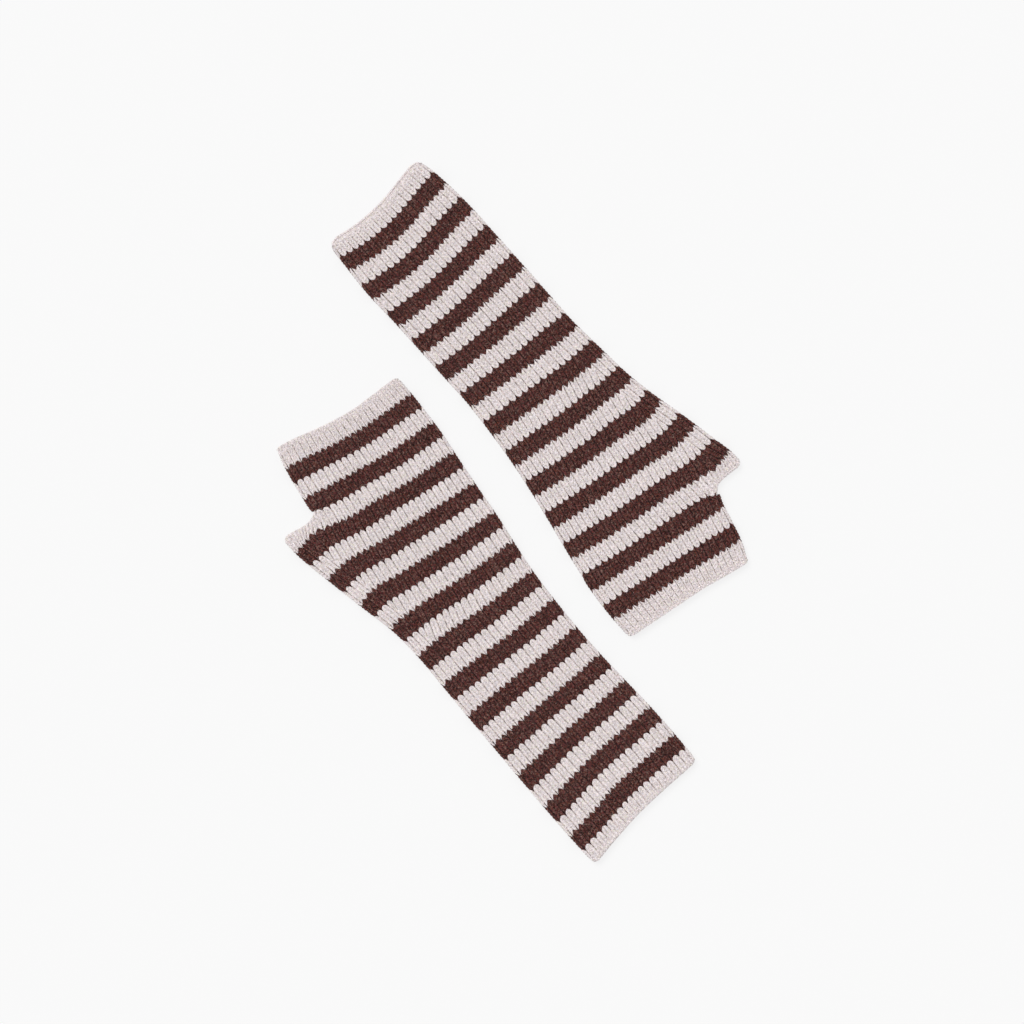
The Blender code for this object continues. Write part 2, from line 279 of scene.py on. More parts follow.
# How far the chain lies inside the mouth's own edge, in stations
EDGE_INSET = 0.03
# Each mouth: its station, whether that is past the crotch, its first rib and the one past its last,
# and whether it runs all round the tube
MOUTHS = (
    (WRIST + EDGE_INSET, False, 0, RIBS, True),
    (FINGERS - EDGE_INSET, True, THUMB_RIBS, RIBS, True),
    (THUMB - EDGE_INSET, False, 0, THUMB_RIBS, False),
)

# Loose fibres: their number, half width, length and rise, the tip's rise as a share of that, their
# bend in radians, their width at the root, the middle and the tip, and the share of stray pale ones
FIBRES = 9000
FIBRE_HALF = 0.028
FIBRE_LENGTH = (0.8, 2.6)
FIBRE_RISE = (0.25, 0.75)
FIBRE_TIP_RISE = (-0.6, 0.8)
FIBRE_BEND = 0.9
FIBRE_TAPER = (1.0, 0.8, 0.3)
STRAY_PALE = 0.02
# Where they grow: how far from the mouths, in stations, how far across a rib, how high up the
# stitches, and only on ribs of this share of a full rib's width
FIBRE_INSET = 0.05
FIBRE_ACROSS = 0.42
FIBRE_ROOT = 0.75
FIBRE_RIB = 0.9

# How often wool changes in a mm: its blend of hues, its lights and darks, its hairs and its fuzz.
# The real fibres are about 0.02 mm across, too fine to show, so the first three are drawn as
# coarse as the tufts that they make in the yarn.
BLENDS_PER_MM = 0.85
FLECKS_PER_MM = 1.2
HAIRS_PER_MM = 0.95
FUZZ_PER_MM = 4.0
# The parts of each noise's range over which the hues, the flecks and the hairs change
HUES_FROM = 0.36
HUES_SPAN = 0.28
FLECKS_BETWEEN = (0.45, 0.55)
HAIRS_BETWEEN = (0.535, 0.61)
# The fuzz's bump, its height in mm, and the gloss of wool. The IOR is a little under the fibre's
# own 1.55, for the air between the fibres, and they scatter so much light that little shine is left.
FUZZ_HEIGHT = 0.4
FUZZ_STRENGTH = 0.5
WOOL_IOR = 1.45
WOOL_SPECULAR = 0.15
SHEEN_ROUGHNESS = 0.6

# Light, with angles in degrees, and a table wide enough to fill any view, in metres
ROOM_LIGHT = 0.65
SOFTBOX_POWER = 1.35
SOFTBOX_ANGLE = 40
SOFTBOX_TILT = -25
# The table's glow is painted light that fills in the shadows on it
TABLE_GLOW = 0.745
TABLE_HALF = 30.0

# The photograph's frame, in metres, as it lies at the height of the cloth's top
PHOTO_WIDTH = 0.6195
PHOTO_CENTRE = (-0.00082, -0.00084)
PHOTO_HEIGHT = 0.005
LENS_MM = 135
SENSOR_MM = 36


def smooth_curve(places, values, at):
    """The smooth curve through the values at the rising places.

    Where the values are rows, each point that is asked for has a row of its own.
    """
    places = np.asarray(places, float)
    values = np.asarray(values, float)
    last = len(places) - 1
    i = np.clip(np.searchsorted(places, at, side="right") - 1, 0, last - 1)

    def value(j):
        if values.ndim == 1:
            return values[j]
        return np.take_along_axis(values, j[:, None], 1)[:, 0]

    def slope(j):
        before, after = np.maximum(j - 1, 0), np.minimum(j + 1, last)
        return (value(after) - value(before)) / (places[after] - places[before])

    span = places[i + 1] - places[i]
    t = (at - places[i]) / span
    rise = value(i + 1) - value(i)
    bend_in = slope(i) * span - rise
    bend_out = rise - slope(i + 1) * span
    inside = value(i) + rise * t + t * (1 - t) * (bend_in * (1 - t) + bend_out * t)
    end = np.where(t < 0, i, i + 1)
    beyond = value(end) + slope(end) * (at - places[end])
    return np.where((t < 0) | (t > 1), beyond, inside)


def ease(t):
    """A smooth step from 0 to 1."""
    t = np.clip(t, 0.0, 1.0)
    return t * t * (3 - 2 * t)


class Cloth:
    """The shape of one warmer's cloth, read at many points at once.

    Each point has a station, and a hand that says whether it lies past the crotch.
    """

    def __init__(self, warmer, rng):
        table = np.array(warmer.courses, float)
        self.warmer = warmer
        self.stations = table[:, 0]
        self.left, self.right = table[:, 1], table[:, 2]
        self.heights = table[:, 3:]
        self.gusset = np.arange(EDGE_RIBS, EDGE_RIBS + warmer.gusset_ribs)
        self.sway = rng.uniform(0, 2 * math.pi, RIBS)
        self.turn = math.radians(warmer.turn)
        self.thumb_row = int(np.argmin(abs(self.stations - THUMB)))
        self.thumb_left = self.left[self.thumb_row]
        self.crotch = self.rib_edges(np.array([THUMB]), np.array([False]))[0, THUMB_RIBS]

    def rib_shares(self, station, hand):
        """Each rib's width against a full rib's. A gusset rib widens from nothing."""
        shares = np.ones((len(station), RIBS))
        starts = LAST_GUSSET_START - GUSSET_STEP * (self.gusset - EDGE_RIBS)
        shares[:, self.gusset] = np.clip((station[:, None] - starts) / GUSSET_STEP, 0, 1)
        near_thumb = ease(station - THUMB + 1)[:, None]
        shares[:, :THUMB_RIBS] *= 1 + self.warmer.thumb_extra * near_thumb
        shares *= 1 + UNEVEN_RIBS * np.sin(UNEVEN_BEND * station[:, None] + self.sway)
        shares[np.asarray(hand), :THUMB_RIBS] = 0
        return shares

    def sides(self, station, hand):
        """The left and right edges of the flat tube, at the outside of its folds."""
        right = smooth_curve(self.stations, self.right, station)
        row = self.thumb_row
        left = smooth_curve(self.stations[:row + 1], self.left[:row + 1], station)
        if np.any(hand):
            above = np.concatenate(([self.crotch - FOLD_REACH], self.left[row + 1:]))
            left = np.where(hand, smooth_curve(self.stations[row:], above, station), left)
        return left, right

    def rib_edges(self, station, hand):
        """How far across each rib begins, and last where the far rib ends."""
        left, right = self.sides(station, hand)
        left, right = left + FOLD_REACH, right - FOLD_REACH
        shares = self.rib_shares(station, hand)
        done = np.cumsum(shares, axis=1) / shares.sum(axis=1)[:, None]
        done = np.concatenate((np.zeros((len(station), 1)), done), axis=1)
        edges = left[:, None] + (right - left)[:, None] * done
        return edges - PUCKER_LEAN * self.pucker(edges, station[:, None])

    def pucker(self, across, station):
        """How strongly the cloth puckers below the crotch, from 0 to 1."""
        near = np.clip(1 - abs(station - PUCKER_STATION) / PUCKER_HALF, 0, 1)
        return near * np.exp(-((across - self.warmer.pucker_at) / PUCKER_WIDTH) ** 2)

    def corner_drop(self, across, station, hand):
        """How far a mouth draws back at its rounded corners."""
        left, right = self.sides(station, hand)
        near, far = across - left, right - across

        def drop(to_side, from_mouth):
            inset = np.clip(CORNER_RADIUS - to_side, 0, CORNER_RADIUS)
            rounding = CORNER_RADIUS - np.sqrt(CORNER_RADIUS ** 2 - inset ** 2)
            return rounding * ease(1 - from_mouth / MOUTH_REACH)

        both = np.minimum(near, far)
        at_thumb = np.where(hand, 0, drop(near, abs(THUMB - station)))
        return drop(both, abs(station - WRIST)) - drop(both, abs(FINGERS - station)) - at_thumb

    def thumb_lift(self, across, station, hand):
        """How the courses by the thumb rise to the crotch and dip along the thumb's edge."""
        crotch_lift = self.warmer.crotch_lift
        away = across - self.crotch
        beside = crotch_lift * ease(1 - away / CROTCH_SPREAD)
        t = away / (self.thumb_left - self.crotch)
        dip = self.warmer.thumb_dip * np.sin(math.pi * np.clip(t, 0, 1) ** DIP_LEAN) ** 2
        edge = crotch_lift * np.exp(-CROTCH_FADE * np.maximum(t, 0)) - dip
        fold = crotch_lift - CROTCH_ROUND * away / FOLD_REACH
        lift = np.where(away >= 0, beside, np.where(hand, fold, edge))
        return lift * np.clip(1 - abs(station - THUMB) / MOUTH_REACH, 0, 1)

    def along(self, across, station, hand, back):
        """How far up the warmer a point of the cloth lies."""
        courses = np.stack([smooth_curve(self.stations, self.heights[:, i], station)
                            for i in range(len(COURSE_PLACES))], axis=1)
        height = smooth_curve(COURSE_PLACES, courses, across)
        height += self.corner_drop(across, station, hand) + self.thumb_lift(across, station, hand)
        height += PUCKER_LIFT * self.pucker(across, station)
        left, right = self.sides(station, hand)
        t = np.clip((across - left) / (right - left), 0, 1)
        at_wrist = np.clip(1 - (station - WRIST) / MOUTH_REACH, 0, 1)
        shows = self.warmer.back_shows * np.minimum(1, BACK_FULLNESS * t * (1 - t)) * at_wrist
        return height - np.where(back, shows, 0)

    def lay(self, place, station, proud, hand, inner=False):
        """Where points of the cloth lie on the table, in metres.

        A place is a side of the tube, the ribs it runs across from first to last, and the share
        of the way across them or round the fold, from -0.5 to 0.5. The point stands proud of the
        tube of cloth by some mm.
        """
        side, first, last, share, station, proud, hand = np.broadcast_arrays(
            *place, station, proud, hand)
        edges = self.rib_edges(station, hand)
        rows = np.arange(len(station))
        low, high = edges[rows, first], edges[rows, last]
        gap = LAYER_GAP + MOUTH_GAP * ease(1 - np.minimum(station - WRIST, FINGERS - station))
        if inner:
            top, bottom, reach = WALL + gap, WALL, INNER_FOLD_REACH
        else:
            top, bottom, reach = 2 * WALL + gap - FRONT_SINK, BACK_SINK, FOLD_REACH - FOLD_SINK
        # The turn runs round a fold from the front to the back
        turn = np.clip(0.5 - share, -FOLD_SPILL, 1 + FOLD_SPILL) * math.pi
        round_fold = np.clip(turn, 0, math.pi)
        out = np.where(side == NEAR_FOLD, -1, 1)
        on_fold = (side == NEAR_FOLD) | (side == FAR_FOLD)
        fold_from = np.where(side == NEAR_FOLD, edges[:, 0], edges[:, RIBS])
        fold_x = fold_from + out * (reach * np.sin(round_fold) + proud * np.sin(turn))
        fold_z = bottom + (top - bottom) * (1 + np.cos(round_fold)) / 2 + proud * np.cos(turn)
        flat_z = np.where(side == BACK, bottom - proud, top + proud)
        x = np.where(on_fold, fold_x, low + (share + 0.5) * (high - low))
        z = np.maximum(np.where(on_fold, fold_z, flat_z), LOWEST)
        y = self.along(x, station, hand, side == BACK)
        cos, sin = math.cos(self.turn), math.sin(self.turn)
        place_x, place_y = self.warmer.place
        return np.stack((place_x + cos * x - sin * y, place_y + sin * x + cos * y, z), axis=1) * MM


def linear(hex_colour):
    """A colour given as sRGB hex, as the linear colour that a shader takes."""
    parts = [int(hex_colour[i:i + 2], 16) / 255 for i in (1, 3, 5)]
    return (*[p / 12.92 if p <= 0.04045 else ((p + 0.055) / 1.055) ** 2.4 for p in parts], 1.0)


def add_node(tree, kind, settings=None, **links):
    """Adds a node with its settings, and sets or links its sockets by their names."""
    node = tree.nodes.new(kind)
    for name, value in (settings or {}).items():
        setattr(node, name, value)
    for name, value in links.items():
        socket = next(socket for socket in node.inputs
                      if name in (socket.identifier, socket.name.replace(" ", "_")))
        if isinstance(value, bpy.types.NodeSocket):
            tree.links.new(value, socket)
        else:
            socket.default_value = value
    return node


def make_mesh(name, points, quads, materials, colours=None, yarn=None, smooth=True):
    """An object from arrays of points in metres and of faces with four corners.

    Colours number each face's material, and yarn is each point's place along and round its yarn.
    """
    mesh = bpy.data.meshes.new(name)
    mesh.vertices.add(len(points))
    mesh.vertices.foreach_set("co", np.asarray(points, np.float32).ravel())
    mesh.loops.add(quads.size)
    mesh.loops.foreach_set("vertex_index", quads.ravel().astype(np.int32))
    mesh.polygons.add(len(quads))
    mesh.polygons.foreach_set("loop_start", np.arange(0, quads.size, 4, dtype=np.int32))
    mesh.polygons.foreach_set("use_smooth", np.full(len(quads), smooth))
    if colours is not None:
        mesh.polygons.foreach_set("material_index", np.asarray(colours, np.int32))
    if yarn is not None:
        layer = mesh.uv_layers.new(name="yarn")
        layer.data.foreach_set("uv", yarn[quads.ravel()].astype(np.float32).ravel())
    for material in materials:
        mesh.materials.append(material)
    mesh.update(calc_edges=True)
    obj = bpy.data.objects.new(name, mesh)
    bpy.context.collection.objects.link(obj)
    return obj


def join_points(obj):
    """Makes one of the points that share a place, such as those of a rib that has no width yet."""
    form = bmesh.new()
    form.from_mesh(obj.data)
    bmesh.ops.remove_doubles(form, verts=form.verts, dist=JOIN_WITHIN * MM)
    form.to_mesh(obj.data)
    form.free()


def stripe_of(station):
    """The colour of the wool at a station."""
    to_dark = abs(station - np.round(station))
    in_dark = (to_dark < DARK_HALF) & (station > -0.5) & (station < DARK_STRIPES - 0.5)
    return np.where(in_dark, DARK, LIGHT)


def wool(name, hues, values, hair, hair_share, roughness, sheen):
    """Wool yarn spun from fibres dyed in several hues, lighter and darker by the values.

    Hairs of one more colour are spun in, and show in flecks with at most their share.
    """
    material = bpy.data.materials.new(name)
    material.use_nodes = True
    tree = material.node_tree
    shader = tree.nodes["Principled BSDF"]
    place = add_node(tree, "ShaderNodeTexCoord").outputs["Object"]
    mm = add_node(tree, "ShaderNodeVectorMath", {"operation": "SCALE"},
                  Vector=place, Scale=1 / MM).outputs[0]
    blend = add_node(tree, "ShaderNodeTexNoise", Vector=mm, Scale=BLENDS_PER_MM, Detail=3.0,
                     Roughness=0.6, Distortion=0.5)
    flecks = add_node(tree, "ShaderNodeTexNoise", Vector=mm, Scale=FLECKS_PER_MM, Detail=2.0,
                      Roughness=0.6, Distortion=0.6)
    hues_mixed = add_node(tree, "ShaderNodeValToRGB", Fac=blend.outputs[0])
    stops = hues_mixed.color_ramp.elements
    for i, hue in enumerate(hues):
        position = HUES_FROM + HUES_SPAN * i / (len(hues) - 1)
        # A ramp comes with two stops
        stop = stops[i] if i < 2 else stops.new(position)
        stop.position = position
        stop.color = linear(hue)
    value = add_node(tree, "ShaderNodeMapRange", Value=flecks.outputs[0],
                     From_Min=FLECKS_BETWEEN[0], From_Max=FLECKS_BETWEEN[1],
                     To_Min=values[0], To_Max=values[1])
    colour = add_node(tree, "ShaderNodeHueSaturation", Color=hues_mixed.outputs[0],
                      Value=value.outputs[0])
    hairs = add_node(tree, "ShaderNodeTexNoise", Vector=mm, Scale=HAIRS_PER_MM, Detail=3.0,
                     Roughness=0.75, Distortion=1.0)
    share = add_node(tree, "ShaderNodeMapRange", Value=hairs.outputs[0],
                     From_Min=HAIRS_BETWEEN[0], From_Max=HAIRS_BETWEEN[1],
                     To_Min=0.0, To_Max=hair_share)
    mixed = add_node(tree, "ShaderNodeMix", {"data_type": "RGBA"}, Factor_Float=share.outputs[0],
                     A_Color=colour.outputs[0], B_Color=linear(hair))
    tree.links.new(mixed.outputs[2], shader.inputs["Base Color"])
    fuzz = add_node(tree, "ShaderNodeTexNoise", Vector=mm, Scale=FUZZ_PER_MM, Detail=2.0,
                    Roughness=0.7)
    bump = add_node(tree, "ShaderNodeBump", Height=fuzz.outputs[0], Strength=FUZZ_STRENGTH,
                    Distance=FUZZ_HEIGHT * MM)
    tree.links.new(bump.outputs[0], shader.inputs["Normal"])
    shader.inputs["Roughness"].default_value = roughness
    shader.inputs["IOR"].default_value = WOOL_IOR
    shader.inputs["Specular IOR Level"].default_value = WOOL_SPECULAR
    shader.inputs["Sheen Weight"].default_value = sheen
    shader.inputs["Sheen Roughness"].default_value = SHEEN_ROUGHNESS
    return material


# Oatmeal lambswool, woollen-spun from cream, pinkish and pale lilac fibres: a soft pale melange
oatmeal_wool = wool("oatmeal_melange_lambswool", hues=("#ECEBDD", "#FCEDEA", "#ECEAF0", "#FCE7E5"),
                    values=(0.80, 1.09), hair="#B0A29E", hair_share=0.62, roughness=0.92, sheen=0.12)
# Brown heather lambswool, spun from russet, chocolate, plum and umber fibres: dark, with pale hairs
brown_wool = wool("brown_heather_lambswool", hues=("#643B2E", "#44190E", "#5C3135", "#421D09"),
                  values=(0.2, 1.58), hair="#A2857A", hair_share=0.56, roughness=0.92, sheen=0.05)
# Darker copies of the same wools for the furrows between the ribs: painted shade, standing in for the
# shade that falls there
oatmeal_painted_furrow_shade = wool("oatmeal_lambswool_furrows", hues=("#C9BBB5", "#D8CDCB"),
                       values=(0.4, 1.3), hair="#8A7A74", hair_share=0.6, roughness=0.95, sheen=0.0)
brown_painted_furrow_shade = wool("brown_lambswool_furrows", hues=("#4C302A", "#422D30"),
                     values=(0.2, 1.8), hair="#2C1B18", hair_share=0.5, roughness=0.95, sheen=0.0)


def row_stations():
    """The station where each row of stitches begins, up the whole warmer."""
    return np.arange(FIRST_ROW, LAST_ROW + 1) * ROW


def knit(cloth, side, colour):
    """The stitches of one colour on a side of the tube.

    Each is a station, the ribs it runs across from first to last, its width against a full rib's,
    and whether it lies past the crotch.
    """
    found = []
    for start in row_stations():
        middle = start + ROW / 2
        if stripe_of(middle) != colour:
            continue
        hand = start >= THUMB - SAME_STATION
        if side in (NEAR_FOLD, FAR_FOLD):
            found.append((start, 0, 0, 1.0, hand))
            continue
        shares = cloth.rib_shares(np.array([middle]), np.array([hand]))[0]
        for rib in range(THUMB_RIBS if hand else 0, RIBS):
            if shares[rib] < SMALLEST_RIB:
                continue
            # The rib beside one that is too narrow yet to be knitted takes its width too
            beside_new = rib - 1 in cloth.gusset and 0 < shares[rib - 1] < SMALLEST_RIB
            found.append((start, rib - beside_new, rib + 1, min(shares[rib], 1.0), hand))
    return np.array(found, float)


def stitches(name, cloth, sides, colour, rise, angles, material, rng):
    """All the stitches of one colour on some sides of the tube, as legs of yarn."""
    leg = OATMEAL_LEG if colour == LIGHT else BROWN_LEG
    rows, inner_side, outer_side, height = (v[None, :, None] for v in np.array(leg).T)
    middle, half = (inner_side + outer_side) / 2, (outer_side - inner_side) / 2
    rise = rise if colour == LIGHT else rise * BROWN_FLATTER
    profile = np.sign(np.sin(angles)) * abs(np.sin(angles)) ** PLUMPNESS
    grid = np.arange(len(leg) * len(angles)).reshape(len(leg), len(angles))
    faces = np.stack((grid[:-1, :-1], grid[:-1, 1:], grid[1:, 1:], grid[1:, :-1]), axis=-1)
    faces = faces.reshape(-1, 4)
    points, quads, yarn = [], [], []
    for side in sides:
        made = knit(cloth, side, colour)
        size = (len(made), *grid.shape)
        shown = height if side in (FRONT, BACK) else np.maximum(height, FOLD_SMOOTH)
        for twin in (-1, 1):
            start, first, last, share, hand = made.T[:, :, None, None]
            hand = hand > 0.5
            longer, higher, aside, fatter = rng.normal(0, 1, (4, len(made), 1, 1))
            station = start + ROW * (rows * (1 + UNEVEN_LENGTH * longer) + UNEVEN_ALONG * higher)
            by_thumb = (side == NEAR_FOLD) & hand
            lowest = np.where(by_thumb, THUMB - THUMB_ROOM, WRIST + WRIST_ROOM)
            station = np.maximum(station, lowest)
            groove = np.where(start > FINGER_BAND, FINGER_GROOVE, 0) * (rows < LEG_TIP)
            across = twin * (middle + groove + UNEVEN_ACROSS * aside)
            across = across - np.cos(angles) * (half - groove) * (1 + UNEVEN_YARN * fatter)
            fullness = np.minimum(1, NARROW_HEIGHT + (1 - NARROW_HEIGHT) * share)
            proud = rise * shown * profile * fullness
            first, last, across, station, proud, hand = (
                np.broadcast_to(v, size).reshape(-1)
                for v in (first, last, across, station, proud, hand))
            place = side, first.astype(int), last.astype(int), across
            quads.append((faces[None] + (np.arange(len(made)) * grid.size)[:, None, None]
                          + sum(len(p) for p in points)).reshape(-1, 4))
            points.append(cloth.lay(place, station, proud, hand))
            yarn.append(np.stack((np.broadcast_to(rows * ROW_MM, size),
                                  np.broadcast_to(angles, size)), axis=-1).reshape(-1, 2))
    return make_mesh(name, np.concatenate(points), np.concatenate(quads), [material],
                     yarn=np.concatenate(yarn))


def ring_places(first):
    """The points round the tube, from the back's far side. Each is a side, a rib and a share."""
    return ([(BACK, rib, -0.5) for rib in range(RIBS, first - 1, -1)]
            + [(NEAR_FOLD, 0, share) for share in FOLD_SHARES]
            + [(FRONT, rib, share) for rib in range(first, RIBS) for share in RIDGE_SHARES]
            + [(FRONT, RIBS, -0.5)]
            + [(FAR_FOLD, 0, share) for share in reversed(FOLD_SHARES)])


def ring_stations():
    """The stations of the tube's rings: each row's, and those where a furrow changes colour."""
    stations = np.round([WRIST, *row_stations(), row_stations()[-1] + ROW, FINGERS], 4)
    # Below a pale stripe the furrows stay pale as far as its last stitches reach
    meets_dark = (stripe_of(stations - ROW / 2) == DARK) & (stripe_of(stations + ROW / 2) == LIGHT)
    dips = stations[meets_dark] - FURROW_DIP * ROW
    rises = stations[meets_dark] + HOLE_RISE * ROW
    return np.sort(np.concatenate((stations, dips, rises)))


def closed(ring):
    """A ring's points in order, and the first one again."""
    return [*ring.values(), next(iter(ring.values()))]


def round_thumb(ring):
    """The stretch of a ring round the thumb, from the crotch's back to its front."""
    places = list(ring)
    begin, end = places.index((BACK, THUMB_RIBS, -0.5)), places.index((FRONT, THUMB_RIBS, -0.5))
    return [ring[place] for place in places[begin:end + 1]]


class Tube:
    """The tube of cloth as one closed sheet, gathered ring by ring."""

    def __init__(self, cloth, rng):
        self.cloth = cloth
        self.rng = rng
        # At the end of some pale furrows a hole lets the dark wool show
        self.holes = rng.random((DARK_STRIPES, RIBS + 1)) < DARK_HOLES
        self.points, self.quads, self.colours = [], [], []

    def ring(self, station, hand, inner, shared=()):
        """A ring's points by their places, taking those that another ring already has."""
        places = ring_places(THUMB_RIBS if hand else 0)
        side, rib, share = (np.array(v) for v in zip(*places))
        place = side, rib, np.minimum(rib + 1, RIBS), share
        stations = np.full(len(side), station)
        widths = self.cloth.rib_shares(stations, np.full(len(side), hand))
        width = widths[np.arange(len(side)), np.minimum(rib, RIBS - 1)]
        on_ridge = (side == FRONT) & (abs(share) < RIDGE_HALF)
        ridge = RIDGE_HEIGHT * np.minimum(width, 1) * on_ridge
        laid = self.cloth.lay(place, stations, 0.0 if inner else ridge, hand, inner)
        found = {}
        for key, point in zip(places, laid):
            if key in shared:
                found[key] = shared[key]
            else:
                found[key] = len(self.points)
                self.points.append(point)
        return found

    def strip(self, one, other, colours, turned):
        """The faces between two rows of points, facing the other way if turned."""
        if turned:
            one, other = other, one
        for i in range(len(one) - 1):
            self.quads.append((one[i], other[i], other[i + 1], one[i + 1]))
        self.colours.extend(np.broadcast_to(colours, len(one) - 1))

    def face_colours(self, places, low, high):
        """Materials of the faces between two rings: the wool's own on ridges, else its darker copy
        with painted furrow shade, which some pale furrows go without.
        """
        side, rib, share = (np.array(v) for v in zip(*places))
        on_ridge = (side == FRONT) & (share == RIDGE_SHARES[1])
        middle = (low + high) / 2
        stripe = min(max(round(middle), 0), DARK_STRIPES - 1)
        past_dark = (middle - stripe - DARK_HALF) / ROW
        ridge = furrow = int(stripe_of(middle))
        if -FURROW_DIP < past_dark < HOLE_RISE:
            furrow = np.where(self.holes[stripe, rib], DARK, LIGHT)
        elif -1 < past_dark + 2 * DARK_HALF / ROW < 0:
            furrow = DARK
        thumb_edge = (THUMB - SHADE_OFF_THUMB < middle < THUMB) & (rib <= THUMB_RIBS)
        furrow = np.where(thumb_edge, LIGHT, furrow)
        from_end = min(middle - WRIST, FINGERS - middle)
        by_chance = self.rng.random(len(places)) < (
            SHADE_OFF_END_SHARE if from_end < SHADE_OFF_END else SHADE_OFF_SHARE)
        # Pale furrows near the ends and the thumb's edge, and some by chance, go without their painted
        # shade
        shade_left_off = thumb_edge | (from_end < SHADE_OFF_ROWS * ROW) | by_chance
        # Furrows take the darker copy of their wool, painted shade, but pale ones where it is left off
        # take the wool's own colour
        in_furrow = np.where(shade_left_off & (furrow == LIGHT), LIGHT, PAINTED_SHADE_COPY + furrow)
        return np.where(on_ridge, ridge, in_furrow)

    def layer(self, inner, stations):
        """One face of the cloth. It gives its edges at the wrist, the fingers and the thumb."""
        lower = stations[stations < THUMB + SAME_STATION]
        upper = stations[stations > THUMB - SAME_STATION]
        below = [self.ring(station, False, inner) for station in lower]
        # Past the thumb's mouth the hand's rings go on from the points that aren't the thumb's
        kept = {key: vertex for key, vertex in below[-1].items()
                if key[0] == FAR_FOLD or key[0] != NEAR_FOLD and key[1] >= THUMB_RIBS}
        above = [self.ring(station, True, inner, kept if station == upper[0] else ())
                 for station in upper]
        for rings, at in ((below, lower), (above, upper)):
            for i in range(len(rings) - 1):
                colours = self.face_colours(list(rings[i]), at[i], at[i + 1])
                self.strip(closed(rings[i]), closed(rings[i + 1]), colours, turned=inner)
        return closed(below[0]), closed(above[-1]), round_thumb(below[-1]), round_thumb(above[0])


def tube_of_cloth(name, cloth, materials, rng):
    """The tube of cloth that the stitches stand on."""
    tube = Tube(cloth, rng)
    stations = ring_stations()
    outer_edges = tube.layer(False, stations)
    inner_edges = tube.layer(True, stations)
    # At each mouth the wall's edge joins its outer face to its inner one
    for outer, inner, turned in zip(outer_edges, inner_edges, (True, False, False, True)):
        tube.strip(outer, inner, LIGHT, turned)
    obj = make_mesh(name, tube.points, np.array(tube.quads), materials, colours=tube.colours,
                    smooth=False)
    join_points(obj)
    return obj


def mouth_path(cloth, station, hand, first, last, round_tube):
    """Where an edge's stitches lie along a mouth, from the back's far side, and the ways out there."""
    widths = cloth.rib_shares(np.array([station]), np.array([hand]))[0]
    places = [(rib, share) for rib in range(first, last) if widths[rib] > SMALLEST_RIB
              for share in EDGE_SHARES]
    path = [(BACK, rib, share) for rib, share in reversed(places)]
    path += [(NEAR_FOLD, 0, share) for share in EDGE_SHARES]
    path += [(FRONT, rib, share) for rib, share in places]
    if round_tube:
        path += [(FAR_FOLD, 0, share) for share in reversed(EDGE_SHARES)]
    side, rib, share = (np.array(v) for v in zip(*path))
    place = side, rib, np.minimum(rib + 1, RIBS), share
    middle = cloth.lay(place, np.full(len(side), station), -EDGE_SINK, hand)
    outer = cloth.lay(place, np.full(len(side), station), 1.0 - EDGE_SINK, hand)
    return middle, outer - middle


def knitted_edge(name, cloth, material, rng):
    """The edges of the tube's mouths, each a chain of stitches that lie along it."""
    turns = np.radians(np.arange(0, 360, 45))
    grid = np.arange(len(EDGE_STITCH) * len(turns)).reshape(len(EDGE_STITCH), len(turns))
    around = np.roll(grid, -1, axis=1)
    faces = np.stack((grid[:-1], around[:-1], around[1:], grid[1:]), axis=-1).reshape(-1, 4)
    points, quads, yarn = [], [], []
    for station, hand, first, last, round_tube in MOUTHS:
        middle, up = mouth_path(cloth, station, hand, first, last, round_tube)
        ahead = np.roll(middle, -1, axis=0) - np.roll(middle, 1, axis=0)
        if not round_tube:
            ahead[0], ahead[-1] = middle[1] - middle[0], middle[-1] - middle[-2]
        spacing = np.linalg.norm(ahead, axis=1, keepdims=True) / 2
        ahead /= 2 * spacing
        up /= np.linalg.norm(up, axis=1, keepdims=True)
        outward = np.cross(ahead, up)
        for i in range(len(middle)):
            size = 1 + UNEVEN_EDGE * rng.normal()
            lean = EDGE_LEAN * (1 + UNEVEN_LEAN * rng.normal())
            ring = (up[i] * np.cos(turns)[:, None] * EDGE_HEIGHT
                    + outward[i] * np.sin(turns)[:, None] * EDGE_WIDTH)
            for along, radius in EDGE_STITCH:
                spot = middle[i] + ahead[i] * along * spacing[i] * EDGE_STITCH_REACH
                spot = spot + outward[i] * lean * along * MM
                points.append(spot + ring * radius * size * MM)
                yarn.append(np.stack((np.full(len(turns), along * ROW_MM), turns), axis=1))
            quads.append(faces + (len(points) - len(EDGE_STITCH)) * len(turns))
    points = np.concatenate(points)
    points[:, 2] = np.maximum(points[:, 2], LOWEST * MM)
    return make_mesh(name, points, np.concatenate(quads), [material], yarn=np.concatenate(yarn))


